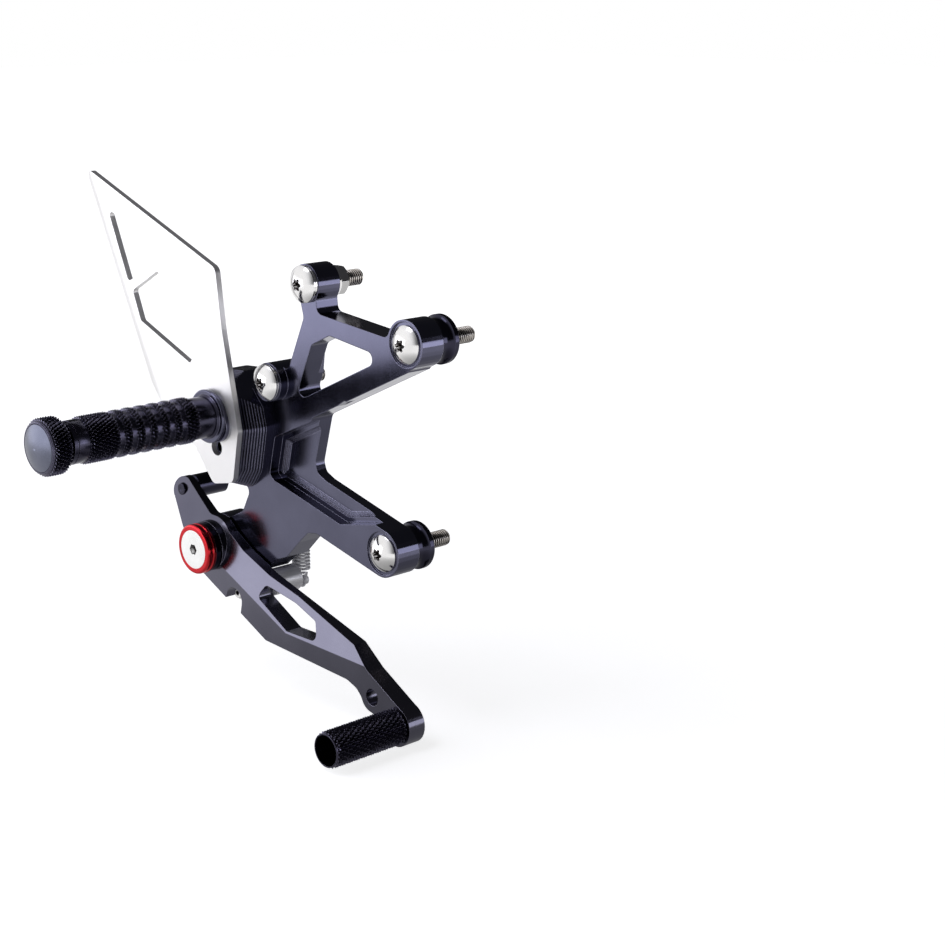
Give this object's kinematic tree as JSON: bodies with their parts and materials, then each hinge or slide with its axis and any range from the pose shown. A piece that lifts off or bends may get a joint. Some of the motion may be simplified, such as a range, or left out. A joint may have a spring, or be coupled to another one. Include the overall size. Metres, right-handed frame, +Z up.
{
  "type": "motorcycle rear-set footrest with brake lever",
  "caption": "Machined rear-set footrest bracket with knurled foot peg, brushed heel guard, sprung brake lever with tubular toe peg, and spaced frame bolts.",
  "frame": {"origin": "axis of the front frame bolt, at the inboard face of its spacer, where the motorcycle frame begins", "axes": "+X forward, +Y inboard towards the motorcycle frame and along the bolts, +Z up"},
  "size_m": [0.2343, 0.1579, 0.2513],
  "materials": {
    "black_anodised": "black anodised, fine milled",
    "black_knurled": "black anodised, turned and knurled",
    "stainless": "turned stainless steel",
    "brushed_sheet": "brushed sheet",
    "red_anodised": "red anodised, polished",
    "zinc": "zinc plated",
    "bronze": "plain bearing bronze",
    "dark_disc": "dark polished"
  },
  "bodies": {
    "bracket_unit": {"bracket": "black_anodised", "bolt_upper": "stainless", "washer_upper": "stainless", "nut_upper": "stainless", "bolt_middle": "stainless", "washer_middle": "stainless", "bolt_front": "stainless", "spacer_front": "black_anodised", "bolt_lower": "stainless", "spacer_lower": "black_anodised", "heel_guard": "brushed_sheet", "peg_mount": "black_anodised", "footpeg_sleeve": "black_knurled", "footpeg_cap": "black_knurled", "footpeg_end_disc": "dark_disc", "peg_bolt": "stainless", "pivot_bolt": "stainless", "pivot_ring": "red_anodised", "hub_washer": "black_anodised", "pivot_bush": "bronze", "thrust_washer": "stainless", "spring_post": "zinc", "return_spring": "zinc"},
    "lever": {"brake_lever": "black_anodised", "toe_peg": "black_knurled", "toe_peg_bolt": "stainless", "rod_pin": "stainless", "stop_pin": "stainless", "height_screw": "stainless", "spring_stud": "zinc"},
    "rod_joint": {"rod_trunnion": "black_anodised"}
  },
  "joints": [
    {"name": "brake_press", "type": "hinge", "parent": "bracket_unit", "child": "lever", "pos_m": [-0.138, -0.0293, -0.1196], "axis": [0, 1, 0], "range_deg": [0, 12], "stiffness_Nm_per_rad": 2, "deforming": ["return_spring"]},
    {"name": "rod_swivel", "type": "hinge", "parent": "lever", "child": "rod_joint", "pos_m": [-0.1625, -0.0141, -0.0948], "axis": [0, 1, 0], "range_deg": [-20, 20]}
  ]
}
